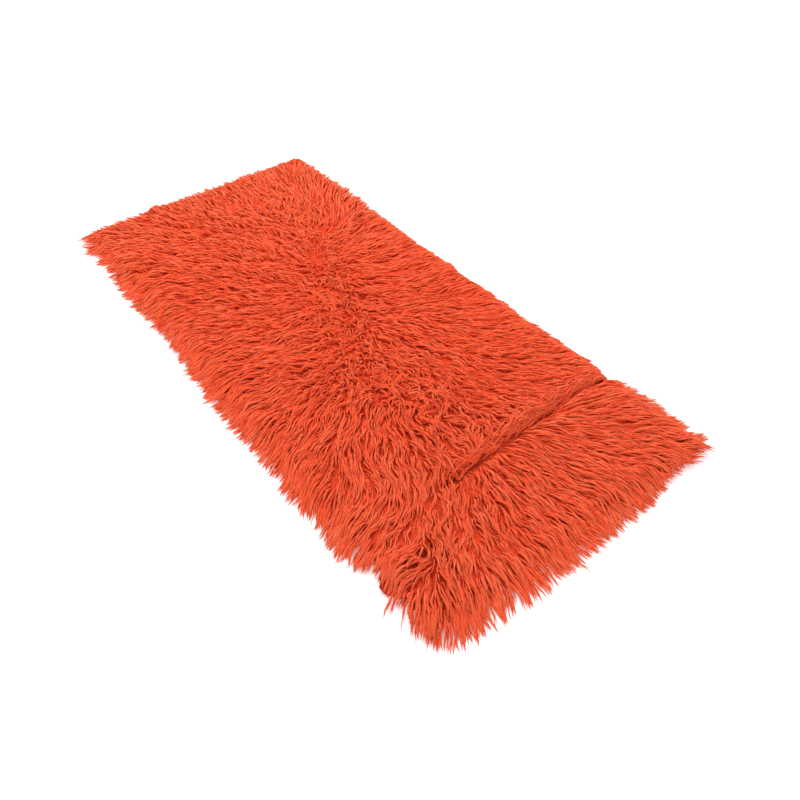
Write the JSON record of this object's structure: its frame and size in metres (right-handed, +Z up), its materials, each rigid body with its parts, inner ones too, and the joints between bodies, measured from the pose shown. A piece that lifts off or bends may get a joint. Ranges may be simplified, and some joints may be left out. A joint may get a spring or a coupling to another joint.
{
  "type": "long-pile shag rug",
  "caption": "Rectangular long-pile wool shag rug lying flat, with one cross fold near an end, two buckled edges and pointed locks round its rim.",
  "frame": {"origin": "the middle of the ground cloth's underside, on the floor", "axes": "+X across the rug, +Y along its length away from the end with the cross fold, +Z up out of the pile"},
  "size_m": [0.7623, 1.6596, 0.0661],
  "materials": {
    "dyed_wool": "matt orange-red dyed wool, soft long pile"
  },
  "bodies": {
    "root": {"shag_rug": "dyed_wool"}
  },
  "joints": []
}
